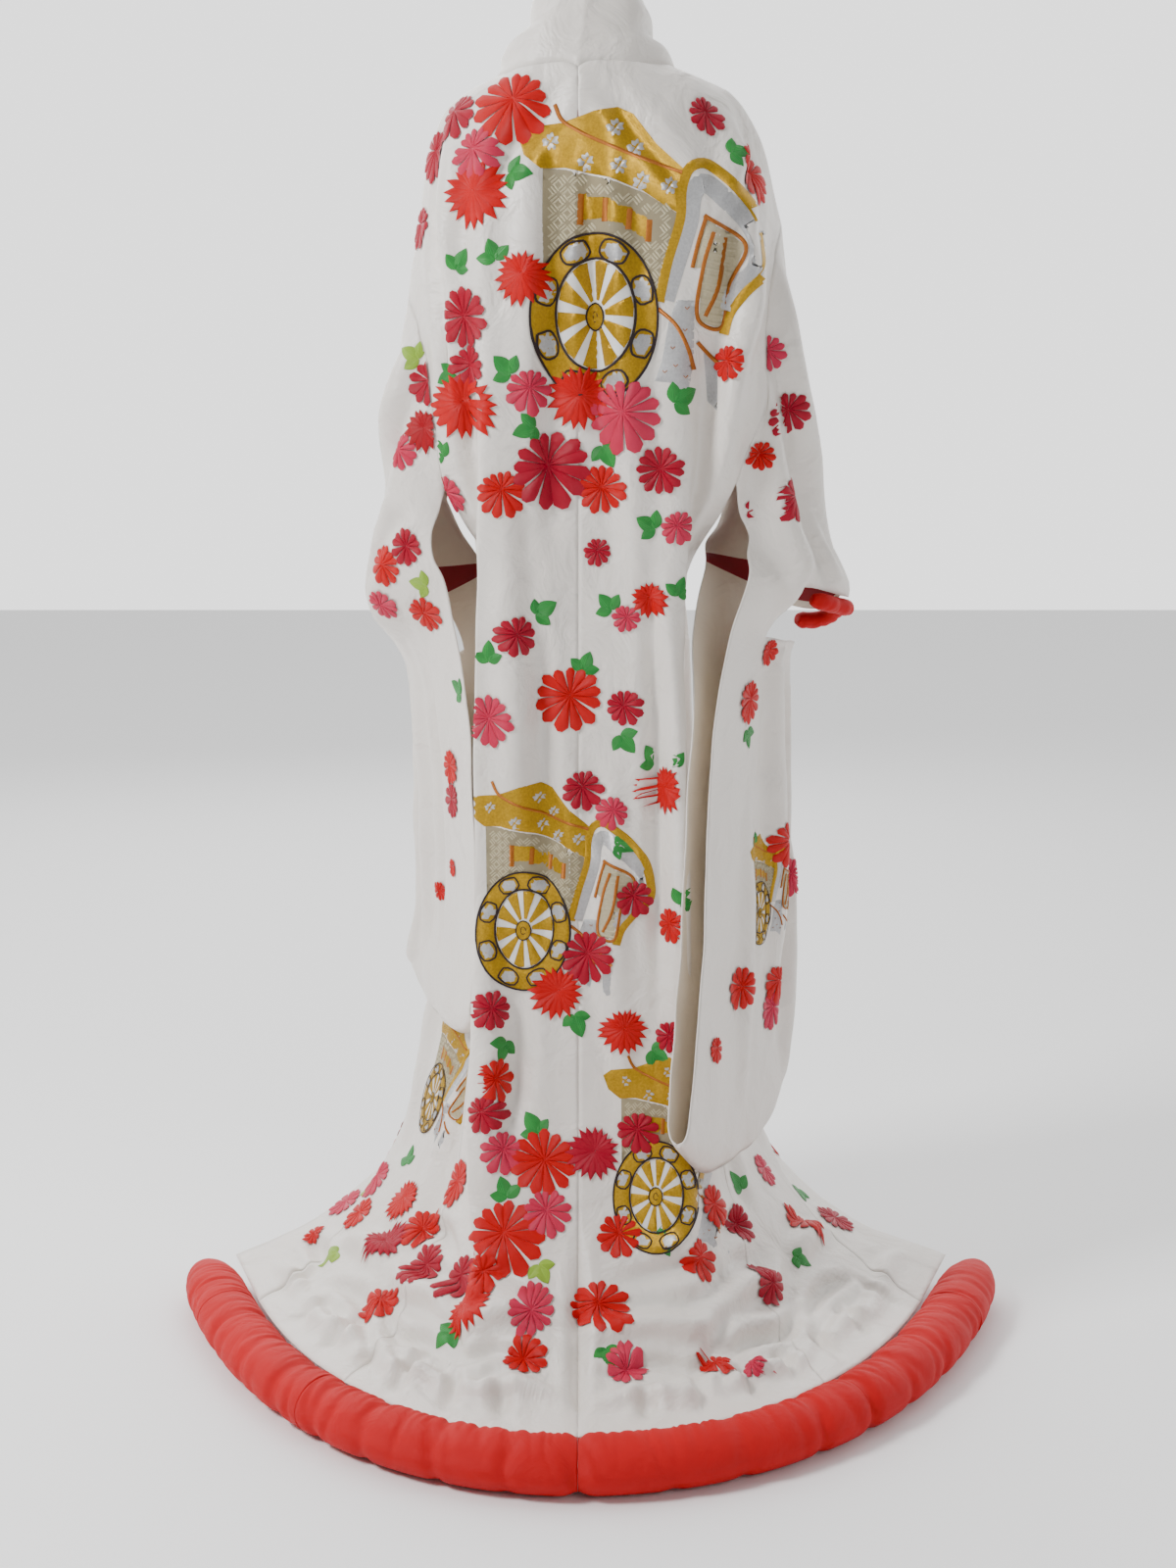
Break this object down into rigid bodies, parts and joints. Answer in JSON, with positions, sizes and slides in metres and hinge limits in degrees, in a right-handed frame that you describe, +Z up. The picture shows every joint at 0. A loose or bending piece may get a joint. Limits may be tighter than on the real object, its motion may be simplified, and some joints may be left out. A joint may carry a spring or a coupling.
{
  "type": "uchikake wedding kimono",
  "caption": "Open wedding overrobe of embroidered satin, worn shape, long hanging sleeves, padded red hem rolls and a spread train.",
  "frame": {"origin": "mid width at the nape level, over the spot between the wearer's feet, where neck and shoulders carry the robe; the floor is 1.38 m below", "axes": "+Z up, the wearer faces -Y, the train lies towards +Y, +X is the wearer's left"},
  "size_m": [0.9395, 0.7041, 1.4865],
  "materials": {
    "satin": "satin",
    "red_silk": "soft matt silk",
    "lining_red": "plain silk",
    "lining_cream": "plain silk",
    "red_thread": "glossy embroidery",
    "rose_thread": "glossy embroidery",
    "pink_thread": "glossy embroidery",
    "leaf_thread": "glossy embroidery",
    "gold_thread": "metallic thread",
    "silver_thread": "metallic thread",
    "brown_thread": "metallic thread"
  },
  "bodies": {
    "root": {"body_left": "satin", "body_right": "satin", "okumi_left": "satin", "okumi_right": "satin", "collar": "satin", "sleeve_left": "satin", "sleeve_right": "satin", "cuff_roll_left": "red_silk", "cuff_roll_right": "red_silk", "hem_roll_back_left": "red_silk", "hem_roll_back_right": "red_silk", "hem_roll_front_left": "red_silk", "hem_roll_front_right": "red_silk", "hem_roll_okumi_left": "red_silk", "hem_roll_okumi_right": "red_silk"}
  },
  "joints": []
}
